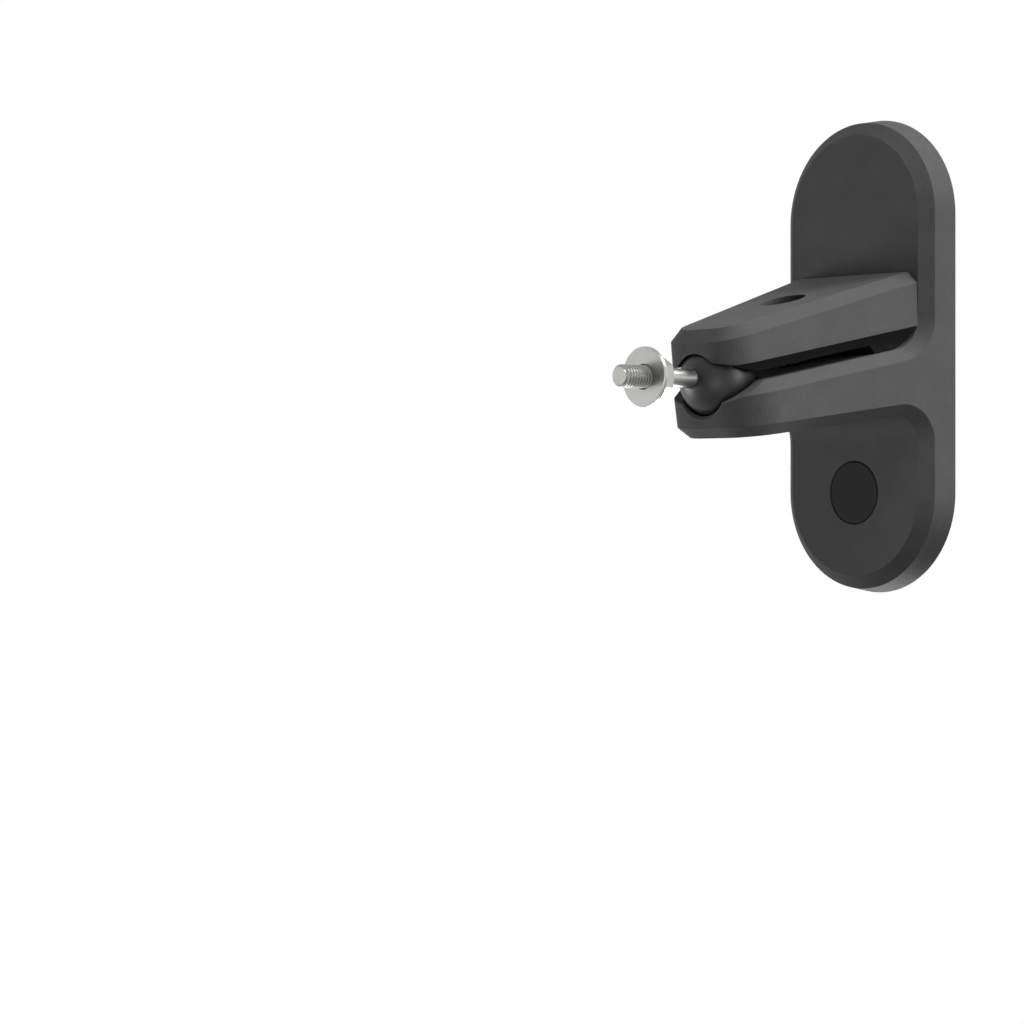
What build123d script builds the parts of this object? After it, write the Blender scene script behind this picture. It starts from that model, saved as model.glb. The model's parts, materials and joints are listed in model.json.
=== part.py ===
import math
import os

from build123d import *

# A speaker wall bracket. Sizes are in millimetres and angles in degrees.
# The origin is the middle of the plate's back face, on the wall. +Y points into the wall, the arm
# reaches out along -Y, and +Z is up.

# Wall plate, cast in one piece with the lower arm
plate_width = 55.0
plate_height = 130.0
plate_thickness = 10.0
side_draft = 9.7
edge_chamfer = 3.0
rim_width = 5.0
core_depth = 5.0
core_draft = 3.0
rib_width = 3.0

# Lower arm: heights where its top and underside lines meet the wall, and how far they droop
arm_top_height = 4.1
arm_droop = 11.7
arm_under_height = -14.65
under_droop = 7.7
arm_top_fillet = 9.0
arm_under_fillet = 7.0
arm_tip_radius = 13.5
tip_beyond_ball = 7.1
jaw_tip_beyond_ball = 7.5

# Upper jaw, a loose lever that the clamp screw pulls down on the ball
jaw_top_height = 24.9
jaw_top_droop = 15.9
jaw_rear_gap = 0.5
jaw_gap = 5.2
jaw_rear_width = 46.4
jaw_taper = 9.3
jaw_draft = 4.0
jaw_tip_radius = 11.0

# Black moulded spacer under the upper jaw, whose heel rocks on the arm's root
spacer_inset = 2.4
spacer_gap = 2.5
heel_front_reach = 22.4
heel_ramp = 1.6
heel_root_gap = 0.5

# Ball joint
ball_radius = 10.0
ball_reach = 63.5
ball_lift = 1.1
ball_flat = 9.6
pad_clearance = 0.1
pad_thickness = 0.6
pad_half_angle = 25.0
mouth_half_height = 2.3
mouth_angle = 23.0
rim_flare_angle = 53.0
stud_bore_clearance = 0.05
stud_root_depth = 4.0
stud_neck_radius = 2.5
stud_thread_start = 18.7
stud_thread_radius = 2.84
stud_end_radius = 3.0
stud_end_length = 8.45
stud_length = 35.7
thread_chamfer = 0.6

# Lock nut and washer on the stud
nut_flats = 10.0
nut_thickness = 5.0
nut_start = 20.9
nut_clearance = 0.05
washer_radius = 7.75
washer_thickness = 1.2
washer_bore_clearance = 0.2

# Clamp screw, its washer and the spring that lifts the jaw
screw_from_ball = 29.0
screw_radius = 3.0
screw_length = 20.0
screw_clearance = 0.05
screw_way_radius = 3.7
screw_head_radius = 5.0
screw_head_height = 6.0
screw_socket_flats = 5.0
screw_socket_depth = 3.0
screw_hole_depth = 13.0
clamp_washer_radius = 5.5
clamp_washer_thickness = 1.6
counterbore_radius = 6.2
counterbore_floor = 8.4
spring_outer_radius = 4.1
spring_wire = 0.8
spring_turns = 3.0
spring_pocket_radius = 4.7
spring_recess = 1.5
spring_end_gap = 0.1

# Wall screw hole under its cap, and the keyhole behind the upper half
hole_from_end = 27.5
wall_hole_radius = 3.0
wall_hole_floor = 3.5
wall_boss_radius = 12.5
cap_recess_radius = 8.75
cap_gap = 0.25
cap_face_thickness = 2.0
cap_skirt_thickness = 1.4
cap_floor_gap = 0.3
cap_edge_chamfer = 0.3
cap_rib_radius = 0.5
cap_rib_count = 6
cap_rib_gap = 0.05
keyhole_head_radius = 5.0
keyhole_slot_radius = 2.6
keyhole_travel = 9.0
keyhole_depth = 7.0
keyhole_lip = 2.6
keyhole_boss_margin = 3.0

# Construction sizes that only have to reach past the part
far = 200.0

tilt = math.radians(arm_droop)
ball_height = arm_top_height - ball_reach * math.tan(tilt) + ball_lift / math.cos(tilt)
ball_centre = Vector(0, -ball_reach, ball_height)

# The clamp frame sits at the ball's centre: x across, y back along the arm, z square to the arm's top.
# The side frame holds the same y and z as a sketch plane seen from the side.
clamp_frame = Plane(origin=ball_centre, x_dir=(1, 0, 0), z_dir=(0, -math.sin(tilt), math.cos(tilt)))
side_frame = Plane(origin=ball_centre, x_dir=clamp_frame.y_dir, z_dir=(1, 0, 0))
stud_frame = Plane(origin=ball_centre, x_dir=(1, 0, 0), z_dir=(0, -1, 0))

# Holes in the plate are sketched on the back face, looking out from the wall: y up, z outward.
wall_hole_offset = plate_height / 2 - hole_from_end
wall_hole_frame = Plane(origin=(0, 0, -wall_hole_offset), x_dir=(1, 0, 0), z_dir=(0, -1, 0))
keyhole_frame = Plane(origin=(0, 0, wall_hole_offset), x_dir=(1, 0, 0), z_dir=(0, -1, 0))

arm_top_level = -ball_lift
jaw_level = arm_top_level + jaw_gap
spacer_level = arm_top_level + spacer_gap
seat_level = arm_top_level + counterbore_floor
jaw_rear = -(plate_thickness + jaw_rear_gap)
socket_radius = ball_radius + pad_thickness + 2 * pad_clearance


def line_height(start, droop, y):
    return start + y * math.tan(math.radians(droop))


def along_arm(y, level):
    """The clamp frame's y of the point at a world y on a level of the clamp frame."""
    return (y + ball_reach + level * math.sin(tilt)) / math.cos(tilt)


def adjoining_faces(solid, edge):
    return [f for f in solid.faces() if any(edge.is_same(e) for e in f.edges())]


def sharp_edges(solid, least_angle=30.0):
    """Edges where two faces meet at a real corner, not on a smooth join."""
    found = []
    for edge in solid.edges():
        faces = adjoining_faces(solid, edge)
        if len(faces) != 2:
            continue
        middle = edge.position_at(0.5)
        if faces[0].normal_at(middle).get_angle(faces[1].normal_at(middle)) > least_angle:
            found.append(edge)
    return found


def mouth():
    """The wedge between the jaws in front of the ball, where the stud's neck swings."""
    slope = math.tan(math.radians(mouth_angle))
    apex = mouth_half_height / slope
    reach = 4 * tip_beyond_ball
    height = mouth_half_height + reach * slope
    side_view = make_face(Polyline((apex, 0), (-reach, height), (-reach, -height), close=True))
    return extrude(side_frame * side_view, plate_width, both=True)


def rim_flare():
    """The cone that opens the front of the arm's socket, so that the stud can tilt further down."""
    reach = 2 * tip_beyond_ball
    widest = reach * math.tan(math.radians(rim_flare_angle))
    cone = Cone(0, widest, reach, align=(Align.CENTER, Align.CENTER, Align.MIN))
    return Plane(origin=ball_centre, x_dir=(1, 0, 0), z_dir=-clamp_frame.y_dir) * cone


def past_tip_removed(solid):
    """Cut square to the arm, a little in front of the ball."""
    keep = clamp_frame * Pos(0, far / 2 - tip_beyond_ball, 0) * Box(far, far, far)
    return solid & keep


def hex_prism(flats, length):
    return extrude(RegularPolygon(flats / 2, 6, major_radius=False), length)


def chamfered_hex(flats, length):
    """A hexagon whose corners are turned off at both ends, as on a nut."""
    corner = flats / math.sqrt(3)
    drop = (corner - flats / 2) * math.tan(math.radians(30))
    turned = Cylinder(corner, length, align=(Align.CENTER, Align.CENTER, Align.MIN))
    turned = chamfer(turned.edges().filter_by(GeomType.CIRCLE), drop, corner - flats / 2 + 0.01)
    return hex_prism(flats, length) & turned


def wall_plate():
    """The casting: its side view, cut across, trimmed to the plate's drafted outline."""
    arm_end = -(ball_reach + 3 * tip_beyond_ball)
    front = -plate_thickness
    half = plate_height / 2
    top_root = (front, line_height(arm_top_height, arm_droop, front))
    under_root = (front, line_height(arm_under_height, under_droop, front))
    outline = make_face(
        Polyline(
            (0, -half),
            (0, half),
            (front, half),
            top_root,
            (arm_end, line_height(arm_top_height, arm_droop, arm_end)),
            (arm_end, line_height(arm_under_height, under_droop, arm_end)),
            under_root,
            (front, -half),
            close=True,
        )
    )
    roots = ((top_root, arm_top_fillet), (under_root, arm_under_fillet))
    for place, radius in roots:
        outline = fillet(outline.vertices().sort_by_distance((*place, 0))[0], radius)
    body = extrude(Plane.YZ * outline, plate_width, both=True)
    plate_outline = SlotOverall(plate_height, plate_width, rotation=90)
    envelope = extrude(Plane.XZ * plate_outline, -arm_end, taper=side_draft)
    body = past_tip_removed(body & envelope)
    tip_edges = [
        e
        for e in body.edges()
        if abs(clamp_frame.to_local_coords(e.center()).Y + tip_beyond_ball) < 0.01
    ]
    body = fillet([e for e in tip_edges if abs(e.center().X) > 1], arm_tip_radius)
    outer_edges = [e for e in sharp_edges(body) if e.center().Y < -0.01]
    body = chamfer(outer_edges, edge_chamfer)

    body -= Pos(ball_centre) * Sphere(socket_radius)
    body -= mouth()
    body -= rim_flare()
    screw_top = clamp_frame * Pos(0, screw_from_ball, arm_top_level)
    hole_radius = screw_radius + screw_clearance
    body -= screw_top * Cylinder(hole_radius, 2 * screw_hole_depth)
    body -= screw_top * Cylinder(spring_pocket_radius, 2 * spring_recess)
    body -= back_cores()
    body -= wall_screw_hole()
    body -= keyhole()
    return body


def back_cores():
    """The hollows in the plate's back, round the ribs, the bosses and the solid root of the arm."""
    outline = SlotOverall(plate_height - 2 * rim_width, plate_width - 2 * rim_width, rotation=90)
    cores = extrude(Plane.XZ * outline, core_depth, taper=core_draft)
    root_top = arm_top_height + arm_top_fillet / 2
    root_bottom = arm_under_height - arm_under_fillet / 2
    root = Pos(0, (root_top + root_bottom) / 2) * Rectangle(plate_width, root_top - root_bottom)
    rib = Rectangle(rib_width, plate_height)
    wall_boss = Pos(0, -wall_hole_offset) * Circle(wall_boss_radius)
    boss_width = 2 * (keyhole_head_radius + keyhole_boss_margin)
    keyhole_boss = Pos(0, wall_hole_offset - keyhole_travel / 2)
    keyhole_boss *= SlotCenterToCenter(keyhole_travel, boss_width, rotation=90)
    for left_solid in (root, rib, wall_boss, keyhole_boss):
        cores -= extrude(Plane.XZ * left_solid, 2 * core_depth, both=True)
    return cores


def wall_screw_hole():
    hole = extrude(Circle(wall_hole_radius), plate_thickness)
    recess = extrude(Pos(0, 0, wall_hole_floor) * Circle(cap_recess_radius), plate_thickness)
    return wall_hole_frame * (hole + recess)


def keyhole():
    """A blind keyhole: the screw's head goes in low down, and the plate then drops over it."""
    middle = Pos(0, -keyhole_travel / 2)
    slot = middle * SlotCenterToCenter(keyhole_travel, 2 * keyhole_slot_radius, rotation=90)
    head_way = middle * SlotCenterToCenter(keyhole_travel, 2 * keyhole_head_radius, rotation=90)
    mouth = Pos(0, -keyhole_travel) * Circle(keyhole_head_radius)
    opening = extrude(slot + mouth, keyhole_depth)
    behind_lip = extrude(Pos(0, 0, keyhole_lip) * head_way, keyhole_depth - keyhole_lip)
    return keyhole_frame * (opening + behind_lip)


def jaw_plan(inset):
    """The jaw from above, in the clamp frame, running on behind its rear face."""
    back = along_arm(jaw_rear, jaw_level)
    slope = math.tan(math.radians(jaw_taper))
    front = -jaw_tip_beyond_ball + inset
    overrun = back / 2
    rear_half = jaw_rear_width / 2 - inset + overrun * slope
    front_half = rear_half - (back + overrun - front) * slope
    plan = make_face(
        Polyline(
            (-front_half, front),
            (front_half, front),
            (rear_half, back + overrun),
            (-rear_half, back + overrun),
            close=True,
        )
    )
    return fillet(plan.vertices().sort_by(Axis.Y)[:2], jaw_tip_radius - inset)


def upper_jaw():
    lift = clamp_frame.offset(jaw_level)
    block = extrude(lift * jaw_plan(0), jaw_top_height * 2, taper=jaw_draft)
    reach = -(ball_reach + 3 * tip_beyond_ball)
    side_view = Polyline(
        (jaw_rear, -jaw_top_height),
        (jaw_rear, line_height(jaw_top_height, jaw_top_droop, jaw_rear)),
        (reach, line_height(jaw_top_height, jaw_top_droop, reach)),
        (reach, -jaw_top_height * 2),
        close=True,
    )
    side_cut = extrude(Plane.YZ * make_face(side_view), plate_width, both=True)
    block = block & side_cut
    top_face = max(block.faces(), key=lambda f: f.normal_at().Z)
    top_edges = [e for e in top_face.edges() if e.center().Y < jaw_rear - 0.01]
    block = chamfer(top_edges, edge_chamfer)

    jaw = block - Pos(ball_centre) * Sphere(socket_radius)
    jaw -= mouth()
    screw_seat = clamp_frame * Pos(0, screw_from_ball, seat_level)
    upward = (Align.CENTER, Align.CENTER, Align.MIN)
    downward = (Align.CENTER, Align.CENTER, Align.MAX)
    jaw -= screw_seat * Cylinder(counterbore_radius, far / 2, align=upward)
    jaw -= screw_seat * Cylinder(screw_way_radius, far / 2, align=downward)
    return jaw


def jaw_spacer():
    """A flat plate against the jaw's underside, with a deep heel rounded to clear the arm's root."""
    heel_front = along_arm(-heel_front_reach, arm_top_level)
    heel_corner = (along_arm(jaw_rear, arm_top_level), arm_top_level)
    overrun_level = jaw_level + arm_top_fillet
    side_view = make_face(
        Polyline(
            heel_corner,
            (heel_front, arm_top_level),
            (heel_front - heel_ramp, spacer_level),
            (-far / 2, spacer_level),
            (-far / 2, overrun_level),
            (along_arm(jaw_rear, overrun_level), overrun_level),
            close=True,
        )
    )
    corner = side_view.vertices().sort_by_distance((*heel_corner, 0))[0]
    side_view = fillet(corner, arm_top_fillet + heel_root_gap)
    spacer = extrude(side_frame * side_view, plate_width, both=True)
    spacer &= extrude(clamp_frame.offset(arm_top_level) * jaw_plan(spacer_inset), jaw_gap)
    spacer -= Pos(ball_centre) * Sphere(socket_radius)
    spacer -= mouth()
    screw_top = clamp_frame * Pos(0, screw_from_ball, arm_top_level)
    spacer -= screw_top * Cylinder(spring_pocket_radius, 4 * jaw_gap)
    return spacer


def ball_pad(upward):
    """A thin dished friction pad between the ball and its socket, turned about the clamp frame's z."""
    inner = ball_radius + pad_clearance
    outer = inner + pad_thickness
    shell = Sphere(outer) - Sphere(inner)
    reach = 2 * outer
    cone = Cone(0, reach * math.tan(math.radians(pad_half_angle)), reach)
    cone = Pos(0, 0, reach / 2) * cone
    pad = shell & cone
    if not upward:
        pad = Rot(180, 0, 0) * pad
    return clamp_frame * pad


def ball():
    body = Sphere(ball_radius)
    body &= Pos(0, 0, ball_flat - far / 2) * Box(far, far, far)
    bore_depth = ball_flat + stud_root_depth
    bore = Cylinder(stud_neck_radius + stud_bore_clearance, 2 * bore_depth)
    body -= Pos(0, 0, ball_flat) * bore
    return stud_frame * body


def stud():
    """Neck and thread on one axis, measured out from the ball's centre.

    The thread is plain: its free end has the full radius, and the stretch under the nut a little less.
    """
    start = -stud_root_depth + stud_bore_clearance
    upward = (Align.CENTER, Align.CENTER, Align.MIN)
    neck = Pos(0, 0, start) * Cylinder(stud_neck_radius, stud_thread_start - start, align=upward)
    thread_length = stud_length - stud_end_length - stud_thread_start
    thread = Pos(0, 0, stud_thread_start) * Cylinder(stud_thread_radius, thread_length, align=upward)
    free_end = Cylinder(stud_end_radius, stud_end_length, align=upward)
    free_end = chamfer(free_end.edges().filter_by(GeomType.CIRCLE).sort_by(Axis.Z)[-1], thread_chamfer)
    return stud_frame * (neck + thread + Pos(0, 0, stud_length - stud_end_length) * free_end)


def lock_nut():
    bore = Cylinder(stud_end_radius + nut_clearance, 3 * nut_thickness)
    corners_up = Rot(0, 0, 30)
    return stud_frame * Pos(0, 0, nut_start) * corners_up * (chamfered_hex(nut_flats, nut_thickness) - bore)


def stud_washer():
    ring = Circle(washer_radius) - Circle(stud_end_radius + washer_bore_clearance)
    return stud_frame * Pos(0, 0, nut_start + nut_thickness) * extrude(ring, washer_thickness)


def clamp_washer():
    ring = Circle(clamp_washer_radius) - Circle(screw_radius + screw_clearance)
    return clamp_frame * Pos(0, screw_from_ball, seat_level) * extrude(ring, clamp_washer_thickness)


def clamp_screw():
    upward = (Align.CENTER, Align.CENTER, Align.MIN)
    head = Cylinder(screw_head_radius, screw_head_height, align=upward)
    head = chamfer(head.edges().filter_by(GeomType.CIRCLE).sort_by(Axis.Z)[-1], thread_chamfer)
    socket = hex_prism(screw_socket_flats, screw_socket_depth)
    socket = Pos(0, 0, screw_head_height - screw_socket_depth) * socket
    shank = Cylinder(screw_radius, screw_length, align=(Align.CENTER, Align.CENTER, Align.MAX))
    shank = chamfer(shank.edges().filter_by(GeomType.CIRCLE).sort_by(Axis.Z)[0], thread_chamfer)
    under_head = seat_level + clamp_washer_thickness
    return clamp_frame * Pos(0, screw_from_ball, under_head) * (head - socket + shank)


def jaw_spring():
    """An open coil of square wire round the clamp screw, held to its working length by the jaw."""
    coil_radius = spring_outer_radius - spring_wire / 2
    bottom = arm_top_level - spring_recess + spring_wire / 2 + spring_end_gap
    top = jaw_level - spring_wire / 2 - spring_end_gap
    height = top - bottom
    path = Helix(height / spring_turns, height, coil_radius)
    section = Plane(origin=path @ 0, x_dir=(1, 0, 0), z_dir=(0, 1, 0)) * Rectangle(spring_wire, spring_wire)
    return clamp_frame * Pos(0, screw_from_ball, bottom) * sweep(section, path, is_frenet=True)


def screw_cap():
    """A plug cup: flush face, hollow behind it for the screw's head, small grip ribs on its skirt."""
    radius = cap_recess_radius - cap_gap
    depth = plate_thickness - wall_hole_floor - cap_floor_gap
    upward = (Align.CENTER, Align.CENTER, Align.MIN)
    body = Cylinder(radius, depth, align=upward)
    rim = body.edges().filter_by(GeomType.CIRCLE).sort_by(Axis.Z)[-1]
    body = chamfer(rim, cap_edge_chamfer)
    rib_place = cap_recess_radius - cap_rib_gap - cap_rib_radius
    rib = Cylinder(cap_rib_radius, depth / 2, align=upward)
    for spot in PolarLocations(rib_place, cap_rib_count):
        body += spot * rib
    body -= Cylinder(radius - cap_skirt_thickness, depth - cap_face_thickness, align=upward)
    return wall_hole_frame * Pos(0, 0, plate_thickness - depth) * body


parts = {
    "wall_plate": wall_plate,
    "upper_jaw": upper_jaw,
    "jaw_spacer": jaw_spacer,
    "lower_pad": lambda: ball_pad(upward=False),
    "upper_pad": lambda: ball_pad(upward=True),
    "ball": ball,
    "stud": stud,
    "stud_washer": stud_washer,
    "lock_nut": lock_nut,
    "clamp_washer": clamp_washer,
    "clamp_screw": clamp_screw,
    "jaw_spring": jaw_spring,
    "screw_cap": screw_cap,
}

os.makedirs("parts", exist_ok=True)
for name, make in parts.items():
    solid = make()
    export_step(solid, f"parts/{name}.step")
    print(f"{name}: {len(solid.solids())} solid, {solid.volume:.1f} mm3")
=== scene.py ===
import bmesh
import bpy
import json
import math
from mathutils import Matrix, Vector


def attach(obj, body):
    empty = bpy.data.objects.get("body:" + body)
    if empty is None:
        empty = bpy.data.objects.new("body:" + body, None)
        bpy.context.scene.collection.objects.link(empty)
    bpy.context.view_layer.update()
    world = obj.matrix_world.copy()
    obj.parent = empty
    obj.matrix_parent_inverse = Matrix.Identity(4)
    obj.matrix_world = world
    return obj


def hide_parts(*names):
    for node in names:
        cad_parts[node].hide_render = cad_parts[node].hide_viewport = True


# Speaker wall bracket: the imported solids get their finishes, the castings get eased corners, and the
# fasteners and the spring get their threads, knurls and round wire.

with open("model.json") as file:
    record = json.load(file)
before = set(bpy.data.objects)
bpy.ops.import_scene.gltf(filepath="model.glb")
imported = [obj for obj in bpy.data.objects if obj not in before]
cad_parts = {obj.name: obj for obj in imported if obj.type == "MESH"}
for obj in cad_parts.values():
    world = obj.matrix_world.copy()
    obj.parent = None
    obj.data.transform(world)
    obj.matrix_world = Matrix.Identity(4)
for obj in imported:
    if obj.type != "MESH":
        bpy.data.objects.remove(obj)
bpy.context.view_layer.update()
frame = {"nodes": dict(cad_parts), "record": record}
print("frame loaded")

mm = 0.001


# Helpers for materials

def hexColour(text):  # from sRGB hex to the linear values of a shader
    parts = [int(text[i:i + 2], 16) / 255 for i in (1, 3, 5)]
    return tuple(c / 12.92 if c <= 0.04045 else ((c + 0.055) / 1.055) ** 2.4 for c in parts) + (1,)


def addNode(tree, kind, settings=None, values=None, links=None):
    node = tree.nodes.new(kind)
    for name, value in (settings or {}).items():
        setattr(node, name, value)
    for name, value in (values or {}).items():
        node.inputs[name].default_value = value
    for name, source in (links or {}).items():
        tree.links.new(source, node.inputs[name])
    return node


def newMaterial(name):
    material = bpy.data.materials.new(name)
    material.use_nodes = True
    tree = material.node_tree
    tree.nodes.clear()
    output = addNode(tree, "ShaderNodeOutputMaterial")
    shader = addNode(tree, "ShaderNodeBsdfPrincipled")
    tree.links.new(shader.outputs[0], output.inputs["Surface"])
    place = addNode(tree, "ShaderNodeTexCoord").outputs["Object"]
    return material, tree, shader, place


def setShader(shader, values):
    for name, value in values.items():
        shader.inputs[name].default_value = value


# Textured polyester powder coat on a zinc die casting: charcoal and dull. The grit lies as low
# rounded bumps, which give the eye a fine even speckle, and the shade drifts a little where the
# coat lies thicker.
coatLook = {
    "dark": "#505051",
    "light": "#555556",
    "darkAt": 0.55,             # heights of the mixed pattern at which each shade is reached
    "lightAt": 1.05,
    "gritShare": 0.6,           # of the grit in that pattern, on top of the patches
    "roughness": 0.6,
    "specular": 0.02,           # the grit scatters nearly all of the gloss
    "gritSize": 0.5 * mm,       # real grit is about 0.15 mm, drawn coarser so that it shows
    "gritDepth": 0.1 * mm,
    "patchSize": 9 * mm,
}


def texturedPowderCoat():
    look = coatLook
    material, tree, shader, place = newMaterial("texturedPowderCoat")
    patches = addNode(tree, "ShaderNodeTexNoise",
                      values={"Scale": 1 / look["patchSize"], "Detail": 3.0, "Roughness": 0.6},
                      links={"Vector": place})
    grit = addNode(tree, "ShaderNodeTexNoise",
                   values={"Scale": 1 / look["gritSize"], "Detail": 2.0, "Roughness": 0.7},
                   links={"Vector": place})
    mixed = addNode(tree, "ShaderNodeMath", {"operation": "MULTIPLY_ADD"},
                    values={1: look["gritShare"]},
                    links={0: grit.outputs["Fac"], 2: patches.outputs["Fac"]})
    ramp = addNode(tree, "ShaderNodeValToRGB", links={"Fac": mixed.outputs[0]})
    dark, light = ramp.color_ramp.elements
    dark.position = look["darkAt"]
    light.position = look["lightAt"]
    dark.color = hexColour(look["dark"])
    light.color = hexColour(look["light"])
    tree.links.new(ramp.outputs["Color"], shader.inputs["Base Color"])
    bump = addNode(tree, "ShaderNodeBump", values={"Strength": 1.0, "Distance": look["gritDepth"]},
                   links={"Height": grit.outputs["Fac"]})
    tree.links.new(bump.outputs["Normal"], shader.inputs["Normal"])
    setShader(shader, {"Roughness": look["roughness"], "Specular IOR Level": look["specular"]})
    return material


# Zinc-plated steel, cold formed and barrel plated: a clean grey metal, slightly warm, with faint
# rings square to the stud's axis and a soft cloud in the gloss.
zincLook = {
    "colour": "#8f8f8c",
    "roughness": 0.34,
    "smoother": 0.07,           # how far the cloud takes the roughness down
    "rougher": 0.1,             # and up
    "cloudSize": 2.5 * mm,
    "ringPitch": 0.35 * mm,     # real rings are about 0.1 mm apart, drawn coarser so that they show
    "ringStretch": 10,          # how many times longer they are across the stud than along it
    "ringDepth": 0.004 * mm,
}


def zincPlatedSteel():
    look = zincLook
    material, tree, shader, place = newMaterial("zincPlatedSteel")
    cloud = addNode(tree, "ShaderNodeTexNoise",
                    values={"Scale": 1 / look["cloudSize"], "Detail": 3.0}, links={"Vector": place})
    roughness = addNode(tree, "ShaderNodeMapRange",
                        values={"To Min": look["roughness"] - look["smoother"],
                                "To Max": look["roughness"] + look["rougher"]},
                        links={"Value": cloud.outputs["Fac"]})
    across = 1 / look["ringStretch"]
    stretched = addNode(tree, "ShaderNodeMapping", values={"Scale": (across, 1.0, across)},
                        links={"Vector": place})
    rings = addNode(tree, "ShaderNodeTexNoise",
                    values={"Scale": 1 / look["ringPitch"], "Detail": 1.0},
                    links={"Vector": stretched.outputs[0]})
    bump = addNode(tree, "ShaderNodeBump", values={"Strength": 0.5, "Distance": look["ringDepth"]},
                   links={"Height": rings.outputs["Fac"]})
    tree.links.new(roughness.outputs[0], shader.inputs["Roughness"])
    tree.links.new(bump.outputs["Normal"], shader.inputs["Normal"])
    setShader(shader, {"Base Color": hexColour(look["colour"]), "Metallic": 1.0})
    return material


# Black oxide on hardened screw and spring steel: a thin dark skin with a low oily gleam.
oxideLook = {
    "colour": "#26262a",
    "metallic": 0.8,
    "roughness": 0.38,
    "smoother": 0.08,
    "rougher": 0.12,
    "cloudSize": 1.2 * mm,
}


def blackOxideSteel():
    look = oxideLook
    material, tree, shader, place = newMaterial("blackOxideSteel")
    cloud = addNode(tree, "ShaderNodeTexNoise",
                    values={"Scale": 1 / look["cloudSize"], "Detail": 4.0}, links={"Vector": place})
    roughness = addNode(tree, "ShaderNodeMapRange",
                        values={"To Min": look["roughness"] - look["smoother"],
                                "To Max": look["roughness"] + look["rougher"]},
                        links={"Value": cloud.outputs["Fac"]})
    tree.links.new(roughness.outputs[0], shader.inputs["Roughness"])
    setShader(shader, {"Base Color": hexColour(look["colour"]), "Metallic": look["metallic"]})
    return material


# Injection-moulded black plastics and rubber: a slight spark-eroded grain taken from the mould,
# finer and glossier on the ball, which is polished by its socket. Real grain is about 0.1 mm across,
# drawn coarser so that it shows.
mouldedLook = {
    "mouldedNylonBall": {"colour": "#1e1e20", "roughness": 0.42, "specular": 0.35,
                         "grain": 0.3 * mm, "depth": 0.008 * mm},
    "mouldedNylonSpacer": {"colour": "#1b1b1c", "roughness": 0.7, "specular": 0.04,
                           "grain": 0.4 * mm, "depth": 0.02 * mm},
    "mouldedRubberPad": {"colour": "#101011", "roughness": 0.8, "specular": 0.1,
                         "grain": 0.4 * mm, "depth": 0.03 * mm},
    "mouldedPolypropyleneCap": {"colour": "#363637", "roughness": 0.7, "specular": 0.03,
                                "grain": 0.35 * mm, "depth": 0.02 * mm},
}
grainLook = {"smoother": 0.06, "rougher": 0.08}  # how far the grain takes the roughness down and up


def mouldedPolymer(name):
    look = mouldedLook[name]
    material, tree, shader, place = newMaterial(name)
    grain = addNode(tree, "ShaderNodeTexNoise",
                    values={"Scale": 1 / look["grain"], "Detail": 2.0}, links={"Vector": place})
    bump = addNode(tree, "ShaderNodeBump", values={"Strength": 0.6, "Distance": look["depth"]},
                   links={"Height": grain.outputs["Fac"]})
    tree.links.new(bump.outputs["Normal"], shader.inputs["Normal"])
    roughness = addNode(tree, "ShaderNodeMapRange",
                        values={"To Min": look["roughness"] - grainLook["smoother"],
                                "To Max": look["roughness"] + grainLook["rougher"]},
                        links={"Value": grain.outputs["Fac"]})
    tree.links.new(roughness.outputs[0], shader.inputs["Roughness"])
    setShader(shader, {"Base Color": hexColour(look["colour"]), "Specular IOR Level": look["specular"]})
    return material


powderCoat = texturedPowderCoat()
zinc = zincPlatedSteel()
blackOxide = blackOxideSteel()
ballNylon = mouldedPolymer("mouldedNylonBall")
spacerNylon = mouldedPolymer("mouldedNylonSpacer")
padRubber = mouldedPolymer("mouldedRubberPad")
capPolypropylene = mouldedPolymer("mouldedPolypropyleneCap")

finishes = {
    "wall_plate": powderCoat,
    "upper_jaw": powderCoat,
    "jaw_spacer": spacerNylon,
    "lower_pad": padRubber,
    "upper_pad": padRubber,
    "ball": ballNylon,
    "stud": zinc,
    "stud_washer": zinc,
    "lock_nut": zinc,
    "clamp_washer": blackOxide,
    "clamp_screw": blackOxide,
    "jaw_spring": blackOxide,
    "screw_cap": capPolypropylene,
}
for name, material in finishes.items():
    slots = frame["nodes"][name].data.materials
    slots.clear()
    slots.append(material)
print("materials set")


# Where the turning pieces lie, read from the record's joints

def jointLine(name):
    for joint in frame["record"]["behaviour"]["joints"]:
        if joint["name"] == name:
            return Vector(joint["pos_m"]), Vector(joint["axis"])


def alongAxis(origin, axis):
    turn = axis.to_track_quat("Z", "Y").to_matrix().to_4x4()
    return Matrix.Translation(origin) @ turn


ballCentre, studAxis = jointLine("stud_spin")
studPlace = alongAxis(ballCentre, studAxis)
screwMouth, clampAxis = jointLine("clamp_screw_turn")
screwPlace = alongAxis(screwMouth, clampAxis)


# Helpers for meshes: a turned piece is shaped about +Z at the origin and then put in its place. Its
# heights are from the ball's centre on the stud, and from the arm's top on the clamp screw.

def addObject(name, data):
    made = bpy.data.objects.new(name, data)
    bpy.context.scene.collection.objects.link(made)
    return made


def finishPiece(name, shape, node, body, place=None, smoothAngle=30):
    if place:
        bmesh.ops.recalc_face_normals(shape, faces=shape.faces)
        bmesh.ops.transform(shape, matrix=place, verts=shape.verts)
    mesh = bpy.data.meshes.new(name)
    shape.to_mesh(mesh)
    shape.free()
    mesh.materials.append(finishes[node])
    mesh.shade_smooth()
    mesh.set_sharp_from_angle(angle=math.radians(smoothAngle))
    piece = addObject(name, mesh)
    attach(piece, body)
    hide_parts(node)
    return piece


def addProfile(shape, points, closed=False):
    verts = [shape.verts.new((radius, 0, height)) for radius, height in points]
    ends = verts[1:] + verts[:1] if closed else verts[1:]
    edges = [shape.edges.new(pair) for pair in zip(verts, ends)]
    return verts + edges


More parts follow.
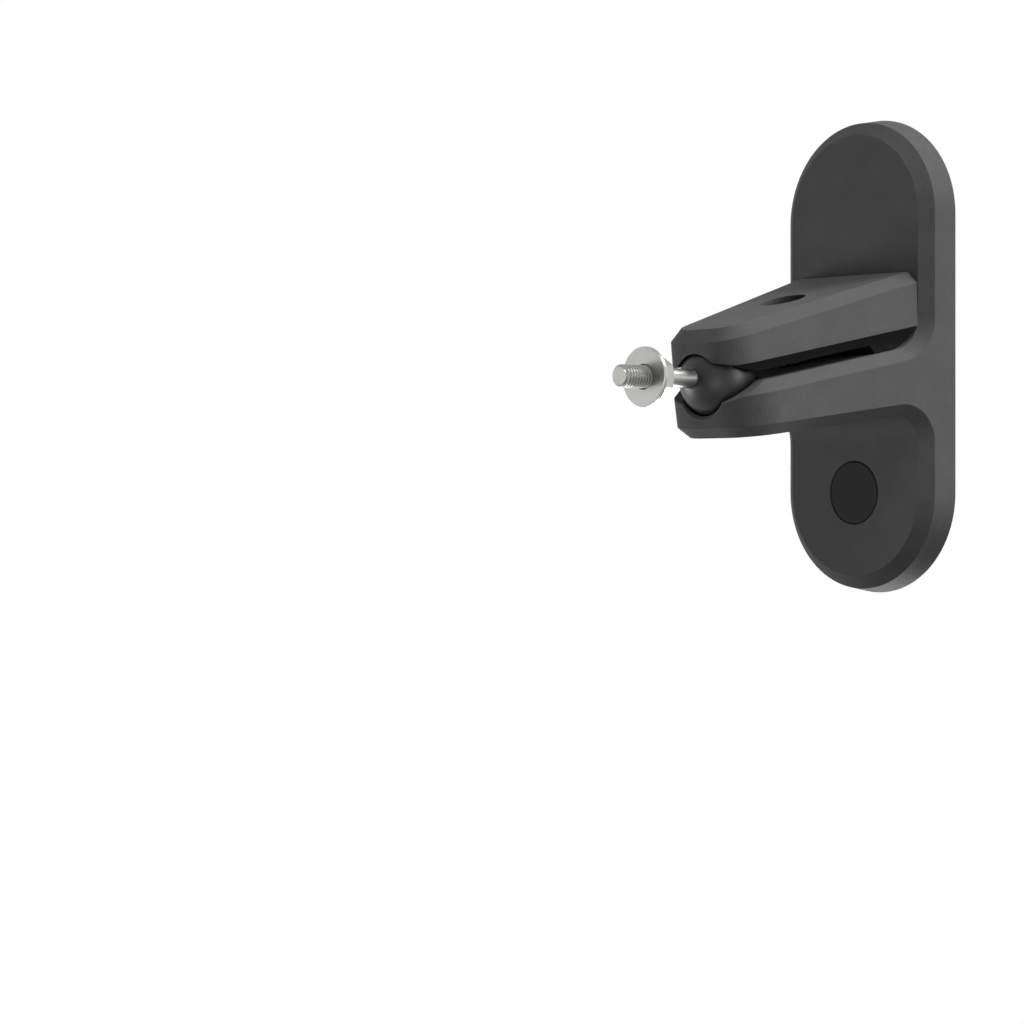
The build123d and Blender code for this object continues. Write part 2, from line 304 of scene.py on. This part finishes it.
turnedWeld = 0.001 * mm


def turnedBody(shape, points, closed=False, steps=64):
    profile = addProfile(shape, points, closed)
    bmesh.ops.spin(shape, geom=profile, cent=(0, 0, 0), axis=(0, 0, 1),
                   angle=math.tau, steps=steps, use_merge=True)
    bmesh.ops.remove_doubles(shape, verts=shape.verts, dist=turnedWeld)


def fillHoles(shape):
    bmesh.ops.holes_fill(shape, edges=[e for e in shape.edges if e.is_boundary], sides=0)


def joinShape(shape, other):
    mesh = bpy.data.meshes.new("joined")
    other.to_mesh(mesh)
    other.free()
    shape.from_mesh(mesh)
    bpy.data.meshes.remove(mesh)


# M6 thread. One pitch of the ISO form is wound past both ends, cut off there, and chamfered at 45
# degrees down to its root.
threadForm = {
    "pitch": 1.0 * mm,
    "crest": 2.98 * mm,
    "depth": 0.6 * mm,
    "flanks": [("root", 0), ("root", 0.125), ("crest", 0.4375),
               ("crest", 0.5625), ("root", 0.875), ("root", 1)],  # share of the pitch at each level
    "pitchesBefore": 1.5,
    "turnsOver": 2,
    "stepsPerTurn": 40,
    "weld": 0.002 * mm,
}


def helicalThread(start, end):
    form = threadForm
    pitch = form["pitch"]
    radius = {"root": form["crest"] - form["depth"], "crest": form["crest"]}
    turns = math.ceil((end - start) / pitch) + form["turnsOver"]
    steps = form["stepsPerTurn"]
    shape = bmesh.new()
    profile = addProfile(shape, [(radius[level], start + (share - form["pitchesBefore"]) * pitch)
                                 for level, share in form["flanks"]])
    bmesh.ops.spin(shape, geom=profile, cent=(0, 0, 0), axis=(0, 0, 1), dvec=(0, 0, pitch / steps),
                   angle=math.tau * turns, steps=steps * turns)
    bmesh.ops.remove_doubles(shape, verts=shape.verts, dist=form["weld"])
    chamfer = form["depth"]
    cuts = ((start, "below"), (start + chamfer, ""), (end - chamfer, ""), (end, "above"))
    for height, dropped in cuts:
        bmesh.ops.bisect_plane(shape, geom=shape.verts[:] + shape.edges[:] + shape.faces[:],
                               plane_co=(0, 0, height), plane_no=(0, 0, 1),
                               clear_inner=dropped == "below", clear_outer=dropped == "above")
    fillHoles(shape)
    for vert in shape.verts:
        fromEnd = min(vert.co.z - start, end - vert.co.z)
        reach = math.hypot(vert.co.x, vert.co.y)
        most = radius["root"] + max(fromEnd, 0)
        if reach > most:
            vert.co.x *= most / reach
            vert.co.y *= most / reach
    return shape


# Stud: a plain turned neck out of the ball, then a rolled M6 thread with a chamfered end
studLook = {
    "inBall": 3.95 * mm,
    "neckRadius": 2.5 * mm,
    "edge": 0.2 * mm,
    "threadStart": 18.7 * mm,
    "length": 35.7 * mm,
}


def threadedStud():
    look = studLook
    neck = look["neckRadius"]
    edge = look["edge"]
    foot = -look["inBall"]
    top = look["threadStart"]
    shape = bmesh.new()
    turnedBody(shape, [(0, foot), (neck - edge, foot), (neck, foot + edge),
                       (neck, top - edge), (neck - edge, top), (0, top)])
    joinShape(shape, helicalThread(top, look["length"]))
    finishPiece("threadedStud", shape, "stud", "stud", studPlace)


# Washers: blanked from strip, so their edges are slightly rolled over
washerLook = {
    "platedWasher": {"outer": 7.75 * mm, "bore": 3.2 * mm, "seat": 25.9 * mm, "thickness": 1.2 * mm},
    "clampWasher": {"outer": 5.5 * mm, "bore": 3.05 * mm, "seat": 8.4 * mm, "thickness": 1.58 * mm},
    "edge": 0.15 * mm,
    "steps": 72,
}


def pressedWasher(name, node, place):
    look = washerLook[name]
    edge = washerLook["edge"]
    bore = look["bore"]
    outer = look["outer"]
    low = look["seat"]
    top = low + look["thickness"]
    shape = bmesh.new()
    turnedBody(shape, [(bore, low + edge), (bore + edge, low), (outer - edge, low), (outer, low + edge),
                       (outer, top - edge), (outer - edge, top), (bore + edge, top), (bore, top - edge)],
               closed=True, steps=washerLook["steps"])
    finishPiece(name, shape, node, node, place)


# Clamp screw: M6 socket cap screw, its head straight-knurled, black
screwLook = {
    "seat": 10.0 * mm,
    "headRadius": 5.0 * mm,
    "headHeight": 6.0 * mm,
    "headChamfer": 0.6 * mm,
    "knurls": 36,
    "knurlDepth": 0.18 * mm,
    "socketSides": 6,
    "socketFlats": 5.0 * mm,
    "socketDepth": 3.0 * mm,
    "drillCone": 1.0 * mm,
    "shankRadius": 2.95 * mm,
    "plainShank": 9.0 * mm,
    "length": 20.0 * mm,
}


def growLoop(shape, loop, rise, scale=1.0):
    grown = bmesh.ops.extrude_edge_only(shape, edges=loop)["geom"]
    verts = [item for item in grown if isinstance(item, bmesh.types.BMVert)]
    bmesh.ops.scale(shape, vec=(scale, scale, 1), verts=verts)
    bmesh.ops.translate(shape, vec=(0, 0, rise), verts=verts)
    return [item for item in grown if isinstance(item, bmesh.types.BMEdge)], verts


def socketScrew():
    look = screwLook
    head = look["headRadius"]
    chamfer = look["headChamfer"]
    valley = 1 - look["knurlDepth"] / head
    around = 2 * look["knurls"]
    sides = look["socketSides"]
    top = look["seat"] + look["headHeight"]
    bottom = top - look["socketDepth"] - look["drillCone"]
    shape = bmesh.new()

    # Top face between socket and rim, then the socket down to the point of its drill
    corner = look["socketFlats"] / 2 / math.cos(math.pi / sides)
    bmesh.ops.create_circle(shape, segments=sides, radius=corner)
    bmesh.ops.subdivide_edges(shape, edges=shape.edges[:], cuts=around // sides - 1)
    socket = shape.edges[:]
    bmesh.ops.create_circle(shape, segments=around, radius=head - chamfer)
    rim = [e for e in shape.edges if e not in socket]
    bmesh.ops.bridge_loops(shape, edges=shape.edges[:])
    bmesh.ops.translate(shape, vec=(0, 0, top), verts=shape.verts)
    deep = growLoop(shape, socket, -look["socketDepth"])[0]
    point = growLoop(shape, deep, -look["drillCone"])[1]
    bmesh.ops.pointmerge(shape, verts=point, merge_co=(0, 0, bottom))

    # Side of the head between its chamfers, with every second vertex pressed in, then the shank
    loop, upper = growLoop(shape, rim, -chamfer, head / (head - chamfer))
    loop, lower = growLoop(shape, loop, -(look["headHeight"] - 2 * chamfer))
    loop = growLoop(shape, loop, -chamfer, valley)[0]
    pressed = [v for v in upper + lower
               if round(math.atan2(v.co.y, v.co.x) / math.tau * around) % 2]
    bmesh.ops.scale(shape, vec=(valley, valley, 1), verts=pressed)
    loop = growLoop(shape, loop, 0, look["shankRadius"] / (head - look["knurlDepth"]))[0]
    growLoop(shape, loop, -look["plainShank"])
    fillHoles(shape)
    threadTop = look["seat"] - look["plainShank"]
    joinShape(shape, helicalThread(look["seat"] - look["length"], threadTop))
    finishPiece("socketScrew", shape, "clamp_screw", "clamp_screw", screwPlace)


# Jaw spring: round wire, wound with its end turns closed
springLook = {
    "coilRadius": 3.7 * mm,
    "wireRadius": 0.4 * mm,
    "wireSides": 14,
    "bottom": -1.0 * mm,
    "top": 4.7 * mm,
    "closedPitch": 0.82 * mm,
    "openTurns": 2,
    "stepsPerTurn": 48,
}


def coilSpring():
    look = springLook
    steps = look["stepsPerTurn"]
    closed = look["closedPitch"]
    openRise = look["top"] - look["bottom"] - 2 * closed
    start = Matrix.Translation((look["coilRadius"], 0, look["bottom"]))
    upright = Matrix.Rotation(math.radians(90), 4, "X")
    shape = bmesh.new()
    bmesh.ops.create_circle(shape, segments=look["wireSides"], radius=look["wireRadius"],
                            matrix=start @ upright)
    end = shape.verts[:] + shape.edges[:]
    for turns, rise in ((1, closed), (look["openTurns"], openRise), (1, closed)):
        wound = bmesh.ops.spin(shape, geom=end, cent=(0, 0, 0), axis=(0, 0, 1),
                               dvec=(0, 0, rise / (turns * steps)),
                               angle=math.tau * turns, steps=turns * steps)
        end = wound["geom_last"]
    fillHoles(shape)
    finishPiece("coilSpring", shape, "jaw_spring", "base", screwPlace)


# Castings: a copy of the solid with its corners eased, as the die's radii and the coat leave them
castingLook = {
    "weld": 0.002 * mm,
    "flatAngle": 0.5,           # facets that meet at less than this many degrees become one face
    "cornerAngle": 20,          # and edges that meet at more than this are eased
    "edgeRadius": 0.2 * mm,
    "edgeSegments": 2,
    "smoothAngle": 40,
}


def easedCasting(name, node, body):
    look = castingLook
    shape = bmesh.new()
    shape.from_mesh(frame["nodes"][node].data)
    bmesh.ops.remove_doubles(shape, verts=shape.verts, dist=look["weld"])
    bmesh.ops.dissolve_limit(shape, angle_limit=math.radians(look["flatAngle"]),
                             verts=shape.verts, edges=shape.edges)
    corners = [e for e in shape.edges
               if e.is_manifold and e.calc_face_angle(0) > math.radians(look["cornerAngle"])]
    bmesh.ops.bevel(shape, geom=corners, offset=look["edgeRadius"], offset_type="OFFSET",
                    segments=look["edgeSegments"], profile=0.5, affect="EDGES", clamp_overlap=True,
                    material=-1)
    bmesh.ops.triangulate(shape, faces=[f for f in shape.faces if len(f.verts) > 4])
    piece = finishPiece(name, shape, node, body, smoothAngle=look["smoothAngle"])
    weighted = piece.modifiers.new("flatFaces", "WEIGHTED_NORMAL")
    weighted.keep_sharp = True


threadedStud()
pressedWasher("platedWasher", "stud_washer", studPlace)
pressedWasher("clampWasher", "clamp_washer", screwPlace)
socketScrew()
coilSpring()
print("stud, washers, screw and spring made")
easedCasting("wallPlateCasting", "wall_plate", "base")
easedCasting("upperJawCasting", "upper_jaw", "jaw")
print("castings eased")


# Stage: the surface's own shading lights the object, and the camera, reflections and glass see white

def whereSeen(tree, ownShader, output):
    white = addNode(tree, "ShaderNodeEmission", values={"Color": (1, 1, 1, 1), "Strength": 1.0})
    ray = addNode(tree, "ShaderNodeLightPath")
    seen = ray.outputs["Is Camera Ray"]
    for kind in ("Is Glossy Ray", "Is Transmission Ray"):
        seen = addNode(tree, "ShaderNodeMath", {"operation": "MAXIMUM"},
                       links={0: seen, 1: ray.outputs[kind]}).outputs[0]
    mix = addNode(tree, "ShaderNodeMixShader", links={0: seen, 1: ownShader, 2: white.outputs[0]})
    tree.links.new(mix.outputs[0], output.inputs["Surface"])


floorLook = {"size": 2.0, "drop": 1.5, "colour": "#c8c8c8", "roughness": 0.9}


def paperFloor():
    look = floorLook
    mesh = bpy.data.meshes.new("studioFloor")
    floor = bmesh.new()
    bmesh.ops.create_grid(floor, x_segments=1, y_segments=1, size=look["size"] / 2)
    bmesh.ops.translate(floor, verts=floor.verts, vec=(0, 0, -look["drop"]))
    floor.to_mesh(mesh)
    floor.free()
    piece = addObject("studioFloor", mesh)
    material, tree, shader = newMaterial("studioPaper")[:3]
    setShader(shader, {"Base Color": hexColour(look["colour"]), "Roughness": look["roughness"]})
    output = [n for n in tree.nodes if n.bl_idname == "ShaderNodeOutputMaterial"][0]
    whereSeen(tree, shader.outputs[0], output)
    mesh.materials.append(material)


worldLook = {"colour": "#ffffff", "strength": 0.03}


def softWorld():
    look = worldLook
    world = bpy.data.worlds.new("studio")
    bpy.context.scene.world = world
    world.use_nodes = True
    tree = world.node_tree
    tree.nodes.clear()
    soft = addNode(tree, "ShaderNodeBackground",
                   values={"Color": hexColour(look["colour"]), "Strength": look["strength"]})
    whereSeen(tree, soft.outputs[0], addNode(tree, "ShaderNodeOutputWorld"))


# Square softboxes, all at one distance from the aim. Turn is from +X towards +Y and rise is above
# the horizon, both in degrees, and power is in watts.
lampLook = {"aim": (0, -0.03, 0), "distance": 1.7, "size": 0.7, "spread": 40}
lamps = [
    {"name": "keySoftbox", "turn": 45, "rise": 48, "power": 1.88},
    {"name": "topSoftbox", "turn": -20, "rise": 60, "power": 1.18},
    {"name": "rightSoftbox", "turn": 20, "rise": 10, "power": 1.05},
    {"name": "frontSoftbox", "turn": -50, "rise": -15, "power": 0.40},
    {"name": "leftSoftbox", "turn": -150, "rise": -15, "power": 1.33},
    {"name": "lowSoftbox", "turn": 120, "rise": -40, "power": 2.40},
]


def softboxes():
    for lamp in lamps:
        data = bpy.data.lights.new(lamp["name"], "AREA")
        data.shape = "SQUARE"
        data.size = lampLook["size"]
        data.spread = math.radians(lampLook["spread"])
        data.energy = lamp["power"]
        turn = math.radians(lamp["turn"])
        rise = math.radians(lamp["rise"])
        away = Vector((math.cos(rise) * math.cos(turn),
                       math.cos(rise) * math.sin(turn),
                       math.sin(rise)))
        light = addObject(lamp["name"], data)
        light.location = Vector(lampLook["aim"]) + away * lampLook["distance"]
        light.rotation_euler = away.to_track_quat("Z", "Y").to_euler()


# The camera looks level, as in the photograph, turned from +Y towards -X by degrees
cameraView = {
    "place": (0.55678, -0.63580, -0.0390),
    "turn": 48.07,
    "lens": 106.97,
    "sensor": 36,
    "shiftY": -0.0135,
}


def photoCamera():
    look = cameraView
    data = bpy.data.cameras.new("photoCamera")
    data.lens = look["lens"]
    data.sensor_width = look["sensor"]
    data.shift_y = look["shiftY"]
    camera = addObject("photoCamera", data)
    camera.location = look["place"]
    camera.rotation_euler = (math.radians(90), 0, math.radians(look["turn"]))
    bpy.context.scene.camera = camera


paperFloor()
softWorld()
softboxes()
photoCamera()
bpy.context.scene.view_settings.view_transform = "Standard"
print("stage, lamps and camera set")
